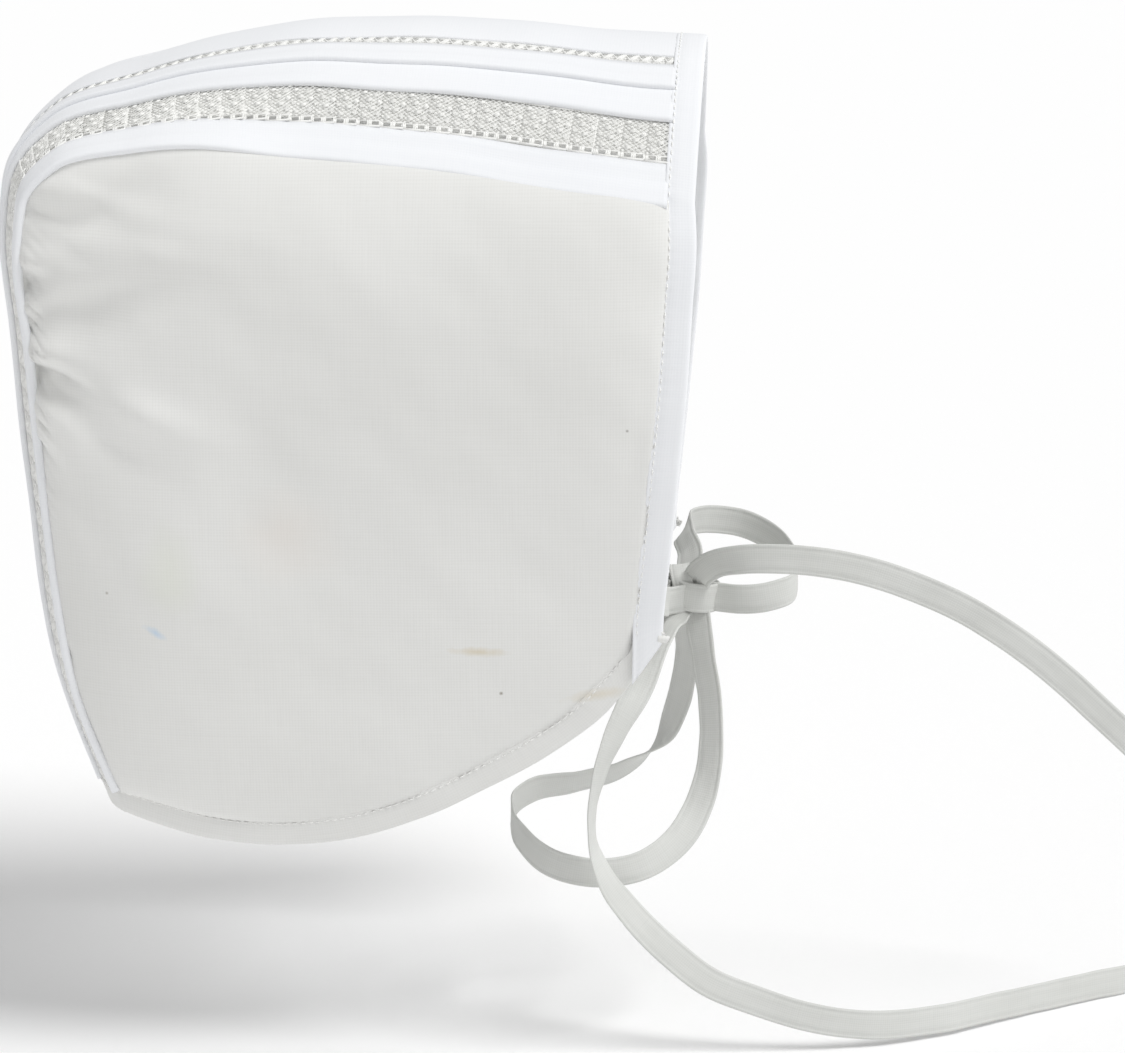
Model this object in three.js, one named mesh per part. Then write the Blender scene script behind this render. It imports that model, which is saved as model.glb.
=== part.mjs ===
// A baby's bonnet of thin white cotton, tied in a bow under the chin.
// Millimetres. X runs forward out of the face opening, Z is up, Y is the wearer's left.
// The origin is the inside of the crown, where the bonnet rests on the head.
import * as THREE from "three";

const wall = 1.0;
const gap = 0.3;
const facingWidth = 6.0;
const casingWidth = 5.6;
const bindingWall = 1.5;
const foldHeight = 0.9;
const tapeWidth = 6.4;
const tapeWall = 1.0;
const sectionSteps = 30;

// The crown strip in the mid-plane, from the front edge over the crown and down to the nape.
// half is the strip's half width, round its radius in the middle, lean its slope at the side seam.
const crownSections = [
  { x: 63.0, z: -2.3, half: 53.8, round: 45, lean: 56 },
  { x: 43.0, z: -1.4, half: 52.6, round: 48, lean: 56 },
  { x: 21.5, z: 0.3, half: 51.4, round: 51, lean: 56 },
  { x: 0.0, z: 1.0, half: 50.3, round: 55, lean: 55.5 },
  { x: -20.5, z: 0.0, half: 49.2, round: 63, lean: 51 },
  { x: -37.0, z: -2.8, half: 48.3, round: 78, lean: 41 },
  { x: -53.0, z: -7.3, half: 47.4, round: 99, lean: 30.5 },
  { x: -72.0, z: -14.3, half: 46.6, round: 112, lean: 25 },
  { x: -81.0, z: -24.0, half: 46.2, round: 115, lean: 24.5 },
  { x: -83.8, z: -37.5, half: 45.8, round: 116, lean: 24.5 },
  { x: -82.5, z: -60.5, half: 45.1, round: 116, lean: 25 },
  { x: -79.8, z: -97.0, half: 44.4, round: 116, lean: 25.5 },
  { x: -75.5, z: -133.5, half: 43.9, round: 115, lean: 27 },
  { x: -65.5, z: -163.5, half: 43.3, round: 115, lean: 29 },
];

// The bands of the strip, as shares of its half width from the middle outward.
const bands = { beadingIn: 0.27, beadingOut: 0.335, firstFold: 0.484, laceIn: 0.651, laceOut: 0.865 };

// The front edge of the right side below the strip, and the neck edge from the corner back.
const frontEdge = [
  { x: 62.3, y: 47.7, z: -35.5 },
  { x: 61.6, y: 50.5, z: -50.5 },
  { x: 60.8, y: 51.7, z: -65.5 },
  { x: 59.4, y: 51.6, z: -81.5 },
  { x: 58.2, y: 50.2, z: -94.5 },
  { x: 57.2, y: 48.4, z: -105.0 },
  { x: 56.2, y: 46.6, z: -115.0 },
  { x: 56.0, y: 46.0, z: -120.6 },
];
const neckEdge = [
  { x: 51.4, y: 45.2, z: -127.0 },
  { x: 43.3, y: 44.2, z: -137.2 },
  { x: 32.8, y: 43.4, z: -145.6 },
  { x: 20.0, y: 43.0, z: -153.2 },
  { x: 6.0, y: 43.0, z: -160.2 },
  { x: -9.3, y: 42.6, z: -165.2 },
  { x: -25.0, y: 42.2, z: -167.0 },
  { x: -41.0, y: 41.9, z: -165.6 },
  { x: -51.5, y: 41.8, z: -162.6 },
];

// How far the side panel rounds outward, and the gathers along its back seam:
// at is the place along the seam, reach how far the fold runs into the panel, both as shares.
const sideBulge = 9.5;
const gathers = [
  { at: 0.5, spread: 0.022, reach: 0.24, depth: 1.6 },
  { at: 0.555, spread: 0.018, reach: 0.2, depth: 1.8 },
  { at: 0.6, spread: 0.016, reach: 0.26, depth: 2.0 },
  { at: 0.655, spread: 0.02, reach: 0.34, depth: 2.4 },
];

const add = (a, b, k = 1) => [a[0] + b[0] * k, a[1] + b[1] * k, a[2] + b[2] * k];
const sub = (a, b) => add(a, b, -1);
const dot = (a, b) => a[0] * b[0] + a[1] * b[1] + a[2] * b[2];
const cross = (a, b) => [a[1] * b[2] - a[2] * b[1], a[2] * b[0] - a[0] * b[2], a[0] * b[1] - a[1] * b[0]];
const unit = (a) => {
  const n = Math.hypot(...a);
  return a.map((v) => v / n);
};
const mix = (a, b, k) => a.map((v, i) => v + (b[i] - v) * k);
const mirror = (p) => [p[0], -p[1], p[2]];

// A smooth line through the rows of a table, measured along it from 0 to 1.
function track(rows, keys) {
  const points = rows.map((row) => keys.map((key) => row[key]));
  const places = [0];
  for (let i = 1; i < points.length; i += 1) {
    const step = sub(points[i], points[i - 1]);
    places.push(places[i - 1] + Math.hypot(step[0], step[1], step[2] || 0));
  }
  const last = points.length - 1;
  const slope = (i, c) => {
    const a = Math.max(i - 1, 0);
    const b = Math.min(i + 1, last);
    if (a === i || b === i) {
      return (points[b][c] - points[a][c]) / (places[b] - places[a]);
    }
    const before = (points[i][c] - points[a][c]) / (places[i] - places[a]);
    const after = (points[b][c] - points[i][c]) / (places[b] - places[i]);
    const share = (places[i] - places[a]) / (places[b] - places[a]);
    return before * (1 - share) + after * share;
  };
  const at = (share) => {
    const place = Math.min(Math.max(share, 0), 1) * places[last];
    let i = 0;
    while (i < last - 1 && place > places[i + 1]) {
      i += 1;
    }
    const span = places[i + 1] - places[i];
    const u = (place - places[i]) / span;
    return keys.map((key, c) => {
      const rise = (points[i + 1][c] - points[i][c]);
      const m0 = slope(i, c) * span;
      const m1 = slope(i + 1, c) * span;
      return points[i][c] + u * (m0 + u * ((3 * rise - 2 * m0 - m1) + u * (m0 + m1 - 2 * rise)));
    });
  };
  return { at, length: places[last] };
}

const crown = track(crownSections, ["x", "z", "half", "round", "lean"]);
const crownLength = track(crownSections, ["x", "z"]).length;
const crownAt = (share) => crown.at(share);

// track measures x, z and half together, so the strip's own length is read off finely here.
const crownPlaces = (() => {
  const list = [{ share: 0, along: 0 }];
  let before = crownAt(0);
  for (let i = 1; i <= 600; i += 1) {
    const now = crownAt(i / 600);
    const along = list[i - 1].along + Math.hypot(now[0] - before[0], now[1] - before[1]);
    list.push({ share: i / 600, along });
    before = now;
  }
  return list;
})();
const crownTotal = crownPlaces[600].along;

function crownShare(millimetres) {
  let i = 1;
  while (i < 600 && crownPlaces[i].along < millimetres) {
    i += 1;
  }
  const a = crownPlaces[i - 1];
  const b = crownPlaces[i];
  return a.share + ((millimetres - a.along) / (b.along - a.along)) * (b.share - a.share);
}

// A point of the strip's outer face, along it in millimetres and across it as a share of its half width.
// lift raises the point off the face.
function stripPoint(along, across, lift = 0) {
  const share = crownShare(Math.min(Math.max(along, 0), crownTotal));
  const [x, z, half, round, lean] = crownAt(share);
  const ahead = crownAt(Math.min(share + 0.004, 1));
  const behind = crownAt(Math.max(share - 0.004, 0));
  const run = unit([ahead[0] - behind[0], 0, ahead[1] - behind[1]]);
  const out = [run[2], 0, -run[0]];
  const side = Math.sign(across) || 1;
  const width = Math.abs(across) * half;
  const seamAngle = (lean * Math.PI) / 180;
  let y = 0;
  let drop = 0;
  let angle = 0;
  const steps = 24;
  for (let i = 0; i < steps; i += 1) {
    const m = (width * (i + 0.5)) / steps;
    angle = m / round + (seamAngle - half / round) * (m / half) ** 3;
    y += (Math.cos(angle) * width) / steps;
    drop += (Math.sin(angle) * width) / steps;
  }
  const end = width / round + (seamAngle - half / round) * (width / half) ** 3;
  const normal = [out[0] * Math.cos(end), side * Math.sin(end), out[2] * Math.cos(end)];
  return { point: add([x - out[0] * drop, side * y, z - out[2] * drop], normal, lift), normal, run };
}

// A sheet of cloth from a grid of outer points and the way each one is thickened.
function sheetFrom(outer, inward, thickness) {
  const rows = outer.length;
  const columns = outer[0].length;
  const inner = outer.map((row, i) => row.map((p, j) => add(p, inward[i][j], thickness)));
  const points = [...outer.flat(), ...inner.flat()];
  const back = rows * columns;
  const id = (i, j) => i * columns + j;
  const faces = [];
  const quad = (a, b, c, d) => {
    const flat = Math.hypot(...sub(points[a], points[c])) <= Math.hypot(...sub(points[b], points[d]));
    faces.push(...(flat ? [[a, b, c], [a, c, d]] : [[a, b, d], [b, c, d]]));
  };
  for (let i = 0; i < rows - 1; i += 1) {
    for (let j = 0; j < columns - 1; j += 1) {
      quad(id(i, j), id(i + 1, j), id(i + 1, j + 1), id(i, j + 1));
      quad(back + id(i, j), back + id(i, j + 1), back + id(i + 1, j + 1), back + id(i + 1, j));
    }
  }
  const rim = [];
  for (let j = 0; j < columns - 1; j += 1) {
    rim.push(id(0, j));
  }
  for (let i = 0; i < rows - 1; i += 1) {
    rim.push(id(i, columns - 1));
  }
  for (let j = columns - 1; j > 0; j -= 1) {
    rim.push(id(rows - 1, j));
  }
  for (let i = rows - 1; i > 0; i -= 1) {
    rim.push(id(i, 0));
  }
  rim.forEach((a, k) => {
    const b = rim[(k + 1) % rim.length];
    quad(a, b, back + b, back + a);
  });
  return solid(points, faces);
}

// A closed body whose faces look outward.
function solid(points, faces) {
  let volume = 0;
  faces.forEach(([a, b, c]) => {
    volume += dot(points[a], cross(points[b], points[c]));
  });
  const turned = volume < 0 ? faces.map(([a, b, c]) => [a, c, b]) : faces;
  const geometry = new THREE.BufferGeometry();
  geometry.setAttribute("position", new THREE.Float32BufferAttribute(points.flat(), 3));
  geometry.setIndex(turned.flat());
  return geometry;
}

const spread = (count) => Array.from({ length: count + 1 }, (_, i) => i / count);

// A band of the strip between two shares, with its folds' heights at each column.
function stripBand(columns, thickness = wall, from = facingWidth + gap, to = crownTotal - casingWidth - gap) {
  const outer = [];
  const inward = [];
  spread(sectionSteps).forEach((share) => {
    const along = from + (to - from) * share;
    const row = columns.map(({ across, lift }) => stripPoint(along, across, lift));
    outer.push(row.map((at) => at.point));
    inward.push(row.map((at, j) => unit(at.normal).map((v) => -v * (1 + columns[j].lift / thickness))));
  });
  return sheetFrom(outer, inward, thickness);
}

function column(across, lift = 0) {
  return { across, lift };
}

// The seam, front and neck lines of a side panel, in millimetres along them.
const seamAt = (along) => stripPoint(along, -1);
const frontTop = seamAt(0).point;
const neckBack = seamAt(crownTotal).point;
const plain = (p) => ({ x: p[0], y: -p[1], z: p[2] });
const frontLine = track([plain(frontTop), ...frontEdge], ["x", "y", "z"]);
const neckLine = track([frontEdge[frontEdge.length - 1], ...neckEdge, plain(neckBack)], ["x", "y", "z"]);

// Where the facing ends and the panel begins, and the same for the neck casing.
function frontInner(share, inset) {
  const [x, y, z] = frontLine.at(share);
  return [x - inset, -y, z];
}

// Where the neck line passes under the inner edge of the facing, at the lower front corner.
const footShare = (() => {
  let share = 0;
  while (neckLine.at(share)[0] > frontInner(1, facingWidth + gap)[0]) {
    share += 0.002;
  }
  return share;
})();
const foot = neckLine.at(footShare);
const cornerRise = 8.6;

function neckInner(share, inset) {
  const [x, y, z] = neckLine.at(share);
  const ahead = neckLine.at(Math.min(share + 0.01, 1));
  const behind = neckLine.at(Math.max(share - 0.01, 0));
  const run = unit([ahead[0] - behind[0], 0, ahead[2] - behind[2]]);
  const up = unit([run[2], 0, -run[0]]);
  const last = stripPoint(crownTotal - inset, -1).point;
  const near = Math.max(0, (share - 0.86) / 0.14) ** 2;
  const square = Math.max(0, 1 - (share - footShare) / 0.07);
  const plainUp = [x + up[0] * inset, -y - inset * 0.12, z + up[2] * inset];
  const upright = [x, -y - inset * 0.12, z + (inset / casingWidth) * cornerRise];
  return mix(mix(plainUp, upright, square), last, near);
}

// The side panel's lower rim: down the facing to the corner, then back along the casing.
const rimLine = (() => {
  const rows = [];
  const keep = (p) => rows.push({ x: p[0], y: p[1], z: p[2] });
  keep(stripPoint(facingWidth + gap, -1).point);
  spread(9).slice(1).forEach((share) => keep(frontInner(share * 0.95, facingWidth + gap)));
  spread(14).slice(0, 14).forEach((share) => {
    const p = neckInner(footShare + share * (1 - footShare), casingWidth + 3 * gap);
    keep([p[0] - (share === 0 ? gap : 0), p[1], p[2]]);
  });
  keep(stripPoint(crownTotal - casingWidth - 3 * gap, -1).point);
  return track(rows, ["x", "y", "z"]);
})();

const seamFrom = facingWidth + gap;
const seamTo = crownTotal - casingWidth - gap;

function panelPoint(t, r) {
  const seam = seamAt(seamFrom + (seamTo - seamFrom) * t).point;
  const rim = rimLine.at(0.015 + 0.97 * t);
  const base = mix(seam, rim, r);
  const rounding = sideBulge * Math.sin(Math.PI * r ** 0.75) ** 0.8 * Math.sin(Math.PI * t) ** 0.55;
  let fold = 0;
  gathers.forEach(({ at, spread: wide, reach, depth }) => {
    const u = (t - at) / wide;
    const fade = Math.max(0, 1 - r / reach);
    fold += depth * Math.exp(-u * u) * fade * Math.min(1, r / 0.04);
  });
  return [base[0], base[1] - rounding + fold, base[2]];
}

function sidePanel(flip) {
  const lines = spread(30);
  const steps = [0, 0.035, 0.08, 0.14, 0.21, 0.29, 0.38, 0.48, 0.58, 0.68, 0.78, 0.87, 0.94, 1];
  const outer = lines.map((t) => steps.map((r) => panelPoint(t, r)));
  const inward = outer.map((row, i) => row.map((p, j) => {
    const a = outer[Math.max(i - 1, 0)][j];
    const b = outer[Math.min(i + 1, lines.length - 1)][j];
    const c = row[Math.max(j - 1, 0)];
    const d = row[Math.min(j + 1, steps.length - 1)];
    let n = unit(cross(sub(b, a), sub(d, c)));
    if (n[1] < 0) {
      n = n.map((v) => -v);
    }
    if (j === 0) {
      const at = seamAt(seamFrom + (seamTo - seamFrom) * lines[i]);
      n = at.normal.map((v) => -v);
    }
    const onFront = i === 0 || (j === steps.length - 1 && p[0] > 47);
    if (onFront && j > 0) {
      n = unit([0, Math.max(n[1], 0.3), n[2]]);
    }
    if ((i === lines.length - 1 && j > 0) || (j === steps.length - 1 && p[0] <= 47)) {
      n = [0, 0.99, 0.12];
    }
    return n;
  }));
  const place = flip ? mirror : (p) => p;
  return sheetFrom(outer.map((row) => row.map(place)), inward.map((row) => row.map(place)), wall);
}

// The facing folded over the whole front edge, from one lower corner over the top to the other.
function frontFacing() {
  const outer = [];
  const inward = [];
  const push = (edge, inner, normal) => {
    const rise = add(edge, normal, 0.4);
    outer.push([rise, add(mix(edge, inner, 0.5), normal, 0.4), add(inner, normal, 0.2)]);
    inward.push([normal, normal, normal].map((n) => n.map((v) => -v)));
  };
  const sideRows = (mirrored) => {
    const shares = spread(14).map((k) => 1 - k * 0.985);
    return shares.map((share) => {
      const edge = frontInner(share, 0);
      const inner = frontInner(share, facingWidth);
      if (share === 1) {
        inner[1] = -foot[1];
        inner[2] = foot[2];
      }
      const a = frontLine.at(Math.max(share - 0.03, 0));
      const b = frontLine.at(Math.min(share + 0.03, 1));
      const normal = unit([0, -(a[2] - b[2]), -(a[1] - b[1])]);
      const rows = [edge, inner, normal];
      return mirrored ? rows.map(mirror) : rows;
    });
  };
  sideRows(false).forEach((row) => push(...row));
  [-1, -0.865, -0.74, -0.651, -0.56, -0.484, -0.4, -0.3, -0.15, 0].forEach((across) => {
    const at = stripPoint(0, across);
    push(at.point, stripPoint(facingWidth, across).point, at.normal);
  });
  [0.15, 0.3, 0.4, 0.484, 0.56, 0.651, 0.74, 0.865, 1].forEach((across) => {
    const at = stripPoint(0, across);
    push(at.point, stripPoint(facingWidth, across).point, at.normal);
  });
  sideRows(true).reverse().forEach((row) => push(...row));
  return sheetFrom(outer, inward, bindingWall);
}

// The casing folded over the whole neck edge, from one corner round the nape to the other.
function neckCasing() {
  const outer = [];
  const inward = [];
  const push = (edge, inner, normal) => {
    outer.push([add(edge, normal, 0.4), add(mix(edge, inner, 0.5), normal, 0.4), add(inner, normal, 0.2)]);
    inward.push([normal, normal, normal].map((n) => n.map((v) => -v)));
  };
  const sideRows = (mirrored) => spread(22).map((k) => {
    const share = footShare + k * (0.985 - footShare);
    const edge = neckInner(share, 0);
    const inner = neckInner(share, casingWidth);
    const a = neckInner(Math.max(share - 0.02, 0), 0);
    const b = neckInner(Math.min(share + 0.02, 1), 0);
    let normal = unit(cross(sub(b, a), sub(inner, edge)));
    if (normal[1] > 0) {
      normal = normal.map((v) => -v);
    }
    const rows = [edge, inner, normal];
    return mirrored ? rows.map(mirror) : rows;
  });
  sideRows(false).forEach((row) => push(...row));
  [-0.98, -0.8, -0.6, -0.4, -0.2, 0, 0.2, 0.4, 0.6, 0.8, 0.98].forEach((across) => {
    const at = stripPoint(crownTotal, across);
    push(at.point, stripPoint(crownTotal - casingWidth, across).point, at.normal);
  });
  sideRows(true).reverse().forEach((row) => push(...row));
  return sheetFrom(outer, inward, bindingWall);
}

// The tape's runs. wx, wy, wz is the way the tape's width lies at that place.
const tapes = {
  tie_right: [
    { x: 53.6, y: -43.0, z: -110.6, wx: 0, wy: 0.2, wz: 1 },
    { x: 54.4, y: -37.0, z: -112.6, wx: 0, wy: 0.25, wz: 1 },
    { x: 55.4, y: -25.0, z: -117.0, wx: 0, wy: 0.3, wz: 1 },
    { x: 56.2, y: -14.0, z: -120.8, wx: 0, wy: 0.2, wz: 1 },
    { x: 57.4, y: -5.6, z: -122.8, wx: 0.2, wy: 0.1, wz: 1 },
  ],
  tie_left: [
    { x: 53.6, y: 43.0, z: -111.0, wx: 0, wy: -0.2, wz: 1 },
    { x: 53.6, y: 37.0, z: -113.4, wx: 0, wy: -0.25, wz: 1 },
    { x: 53.8, y: 25.0, z: -118.4, wx: 0, wy: -0.3, wz: 1 },
    { x: 54.4, y: 14.0, z: -122.0, wx: 0, wy: -0.2, wz: 1 },
    { x: 56.0, y: 6.0, z: -123.4, wx: 0.2, wy: -0.1, wz: 1 },
  ],
  bow_loop_upper: [
    { x: 60.4, y: 5.0, z: -115.0, wx: 0.8, wy: -0.6, wz: 0.1 },
    { x: 59.0, y: 9.0, z: -112.6, wx: 0.7, wy: -0.6, wz: 0.5 },
    { x: 59.0, y: 15.0, z: -112.4, wx: 0.4, wy: -0.3, wz: 0.9 },
    { x: 60.4, y: 21.5, z: -112.6, wx: 0.1, wy: -0.1, wz: 1 },
    { x: 64.4, y: 26.2, z: -113.1, wx: 0.05, wy: 0, wz: 1 },
    { x: 70.7, y: 28.0, z: -114.2, wx: 0.05, wy: 0, wz: 1 },
    { x: 77.8, y: 24.0, z: -116.5, wx: 0.1, wy: 0.1, wz: 1 },
    { x: 82.3, y: 14.0, z: -118.4, wx: 0.1, wy: 0.1, wz: 1 },
    { x: 83.6, y: 4.0, z: -120.2, wx: 0, wy: 0.1, wz: 1 },
    { x: 81.8, y: -2.6, z: -121.2, wx: 0, wy: 0.1, wz: 1 },
    { x: 76.9, y: -4.6, z: -122.2, wx: 0, wy: 0.1, wz: 1 },
    { x: 71.0, y: -4.0, z: -122.8, wx: 0, wy: 0.1, wz: 1 },
    { x: 67.2, y: -2.2, z: -123.0, wx: 0, wy: 0.1, wz: 1 },
  ],
  bow_loop_lower: [
    { x: 59.6, y: 2.6, z: -128.6, wx: 0.9, wy: -0.5, wz: 0 },
    { x: 59.9, y: 4.6, z: -138.0, wx: 0.8, wy: -0.6, wz: 0 },
    { x: 58.2, y: 7.0, z: -149.2, wx: 0.8, wy: -0.6, wz: 0.2 },
    { x: 53.6, y: 9.0, z: -159.7, wx: 0.5, wy: -0.6, wz: 0.5 },
    { x: 45.2, y: 9.0, z: -166.3, wx: 0.2, wy: -0.5, wz: 0.8 },
    { x: 35.4, y: 6.0, z: -168.3, wx: 0.1, wy: -0.4, wz: 0.9 },
    { x: 27.0, y: 0.0, z: -168.1, wx: 0, wy: -0.3, wz: 1 },
    { x: 22.7, y: -9.0, z: -169.0, wx: 0, wy: -0.1, wz: 1 },
    { x: 25.0, y: -20.0, z: -172.0, wx: 0, wy: 0.1, wz: 1 },
    { x: 31.8, y: -27.0, z: -175.3, wx: 0, wy: 0.1, wz: 1 },
    { x: 40.5, y: -29.0, z: -176.9, wx: 0, wy: 0.1, wz: 1 },
    { x: 51.1, y: -27.0, z: -175.8, wx: -0.1, wy: 0.2, wz: 1 },
    { x: 59.0, y: -22.0, z: -171.6, wx: -0.5, wy: 0.3, wz: 0.8 },
    { x: 64.0, y: -16.0, z: -163.3, wx: -0.8, wy: 0.5, wz: 0.4 },
    { x: 65.7, y: -12.0, z: -153.3, wx: -0.8, wy: 0.6, wz: 0.1 },
    { x: 65.3, y: -9.0, z: -144.1, wx: -0.8, wy: 0.6, wz: 0 },
    { x: 63.7, y: -5.4, z: -134.9, wx: -0.8, wy: 0.6, wz: 0 },
    { x: 62.6, y: -3.0, z: -128.8, wx: -0.9, wy: 0.5, wz: 0 },
  ],
  tie_tail_upper: [
    { x: 63.0, y: -4.6, z: -117.2, wx: -0.7, wy: 0.1, wz: 0.7 },
    { x: 66.3, y: -8.0, z: -113.9, wx: -0.6, wy: 0.1, wz: 0.8 },
    { x: 71.5, y: -10.5, z: -112.2, wx: -0.3, wy: 0.1, wz: 1 },
    { x: 78.9, y: -11.5, z: -111.6, wx: 0, wy: 0.1, wz: 1 },
    { x: 85.7, y: -11.5, z: -111.9, wx: 0.1, wy: 0.1, wz: 1 },
    { x: 97.0, y: -10.5, z: -114.0, wx: 0.2, wy: 0.1, wz: 1 },
    { x: 112.3, y: -9.5, z: -119.4, wx: 0.35, wy: 0.1, wz: 1 },
    { x: 127.2, y: -8.5, z: -127.6, wx: 0.5, wy: 0.1, wz: 1 },
    { x: 141.9, y: -7.5, z: -139.3, wx: 0.65, wy: 0.1, wz: 1 },
    { x: 154.7, y: -6.5, z: -151.4, wx: 0.7, wy: 0.1, wz: 1 },
    { x: 163.0, y: -6.0, z: -159.4, wx: 0.7, wy: 0.1, wz: 1 },
  ],
  tie_tail_lower: [
    { x: 56.6, y: -6.6, z: -127.2, wx: 0.6, wy: 0.6, wz: 0.3 },
    { x: 54.8, y: -13.0, z: -129.4, wx: 0.7, wy: 0.5, wz: 0.4 },
    { x: 52.6, y: -20.0, z: -132.6, wx: 0.8, wy: 0.4, wz: 0.4 },
    { x: 49.6, y: -26.0, z: -138.4, wx: 0.8, wy: 0.5, wz: 0.3 },
    { x: 45.4, y: -30.0, z: -146.4, wx: 0.7, wy: 0.7, wz: 0.2 },
    { x: 42.5, y: -32.2, z: -154.2, wx: 0.45, wy: 0.9, wz: 0.2 },
    { x: 41.1, y: -33.6, z: -162.6, wx: 0.2, wy: 1, wz: 0.2 },
    { x: 41.4, y: -34.4, z: -168.4, wx: 0.1, wy: 1, wz: 0.3 },
    { x: 44.2, y: -35.0, z: -176.0, wx: 0.25, wy: 0.8, wz: 0.5 },
    { x: 49.7, y: -35.0, z: -183.8, wx: 0.35, wy: 0.6, wz: 0.7 },
    { x: 57.4, y: -35.0, z: -191.8, wx: 0.4, wy: 0.5, wz: 0.8 },
    { x: 65.8, y: -35.0, z: -198.5, wx: 0.35, wy: 0.4, wz: 0.9 },
    { x: 77.1, y: -34.6, z: -203.4, wx: 0.2, wy: 0.2, wz: 1 },
    { x: 89.9, y: -33.0, z: -207.5, wx: 0.1, wy: 0.1, wz: 1 },
    { x: 102.8, y: -30.0, z: -209.8, wx: 0, wy: 0.1, wz: 1 },
    { x: 115.8, y: -24.0, z: -210.4, wx: 0, wy: 0.1, wz: 1 },
    { x: 131.8, y: -13.0, z: -210.8, wx: 0, wy: 0.1, wz: 1 },
    { x: 144.9, y: -4.0, z: -211.0, wx: 0, wy: 0.1, wz: 1 },
    { x: 157.6, y: 4.0, z: -211.2, wx: 0, wy: 0.1, wz: 1 },
    { x: 164.0, y: 8.5, z: -211.2, wx: 0, wy: 0.1, wz: 1 },
  ],
};

function tape(rows, steps) {
  const line = track(rows, ["x", "y", "z", "wx", "wy", "wz"]);
  const points = [];
  spread(steps).forEach((share) => {
    const at = line.at(share);
    const a = line.at(Math.max(share - 0.006, 0));
    const b = line.at(Math.min(share + 0.006, 1));
    const run = unit([b[0] - a[0], b[1] - a[1], b[2] - a[2]]);
    const wide = [at[3], at[4], at[5]];
    const across = unit(add(wide, run, -dot(wide, run)));
    const out = unit(cross(run, across));
    const centre = [at[0], at[1], at[2]];
    [[1, 1], [-1, 1], [-1, -1], [1, -1]].forEach(([u, v]) => {
      points.push(add(add(centre, across, (u * tapeWidth) / 2), out, (v * tapeWall) / 2));
    });
  });
  const faces = [];
  for (let i = 0; i < steps; i += 1) {
    for (let k = 0; k < 4; k += 1) {
      const a = i * 4 + k;
      const b = i * 4 + ((k + 1) % 4);
      faces.push([a, b, b + 4], [a, b + 4, a + 4]);
    }
  }
  const end = steps * 4;
  faces.push([0, 2, 1], [0, 3, 2], [end, end + 1, end + 2], [end, end + 2, end + 3]);
  return solid(points, faces);
}

// The knot, wrapped tape round the crossing of the ties, ring by ring from the bottom.
const knotRings = [
  { z: -127.6, x: 61.6, y: -0.4, long: 3.2, deep: 2.4 },
  { z: -127.0, x: 61.5, y: -0.4, long: 4.6, deep: 3.6 },
  { z: -125.6, x: 61.2, y: -0.3, long: 5.4, deep: 4.3 },
  { z: -123.0, x: 60.6, y: -0.2, long: 5.6, deep: 4.6 },
  { z: -120.4, x: 60.0, y: 0.0, long: 5.3, deep: 4.4 },
  { z: -118.8, x: 59.3, y: 0.3, long: 4.4, deep: 3.7 },
  { z: -117.2, x: 58.6, y: 0.8, long: 3.4, deep: 2.9 },
  { z: -116.4, x: 58.4, y: 1.0, long: 2.0, deep: 1.8 },
];

function knot() {
  const sides = 18;
  const points = [];
  knotRings.forEach(({ z, x, y, long, deep }) => {
    for (let k = 0; k < sides; k += 1) {
      const turn = (k * 2 * Math.PI) / sides;
      points.push([x + long * Math.cos(turn), y + deep * Math.sin(turn), z]);
    }
  });
  const faces = [];
  for (let i = 0; i < knotRings.length - 1; i += 1) {
    for (let k = 0; k < sides; k += 1) {
      const a = i * sides + k;
      const b = i * sides + ((k + 1) % sides);
      faces.push([a, b, b + sides], [a, b + sides, a + sides]);
    }
  }
  const top = (knotRings.length - 1) * sides;
  for (let k = 1; k < sides - 1; k += 1) {
    faces.push([0, k + 1, k], [top, top + k, top + k + 1]);
  }
  return solid(points, faces);
}

const lawn = { color: 0xeeeff0, roughness: 0.9 };
const laceThread = { color: 0xf0eee6, roughness: 0.92 };
const tapeCloth = { color: 0xd9dadb, roughness: 0.85 };

const bonnet = new THREE.Group();
bonnet.name = "baby_bonnet";

function place(name, geometry, finish) {
  const mesh = new THREE.Mesh(geometry, new THREE.MeshStandardMaterial({ ...finish, metalness: 0 }));
  mesh.name = name;
  bonnet.add(mesh);
}

const step = 0.35 / 48;
place("centre_band", stripBand([-bands.beadingIn, -0.13, 0, 0.13, bands.beadingIn].map((k) => column(k))), lawn);
[["right", -1], ["left", 1]].forEach(([name, side]) => {
  const sided = (columns) => (side > 0 ? columns : columns.map(({ across, lift }) => column(-across, lift)));
  place(`crown_beading_${name}`, stripBand(sided([
    column(bands.beadingIn + step),
    column(bands.beadingOut - step),
  ])), laceThread);
  place(`tuck_band_${name}`, stripBand(sided([
    column(bands.beadingOut),
    column(bands.firstFold - 0.012, foldHeight),
    column(bands.firstFold + 0.006),
    column(bands.laceIn - 0.07, foldHeight * 0.5),
    column(bands.laceIn, foldHeight),
  ])), lawn);
  place(`side_lace_${name}`, stripBand(sided([
    column(bands.laceIn + step),
    column((bands.laceIn + bands.laceOut) / 2),
    column(bands.laceOut - step),
  ])), laceThread);
  place(`outer_band_${name}`, stripBand(sided([
    column(bands.laceOut),
    column(0.93, foldHeight * 0.4),
    column(1 - 2 * step, foldHeight),
  ])), lawn);
  place(`side_panel_${name}`, sidePanel(side > 0), lawn);
});
place("front_facing", frontFacing(), lawn);
place("neck_casing", neckCasing(), lawn);
place("tie_right", tape(tapes.tie_right, 10), tapeCloth);
place("tie_left", tape(tapes.tie_left, 10), tapeCloth);
place("bow_knot", knot(), tapeCloth);
place("bow_loop_upper", tape(tapes.bow_loop_upper, 36), tapeCloth);
place("bow_loop_lower", tape(tapes.bow_loop_lower, 46), tapeCloth);
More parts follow.
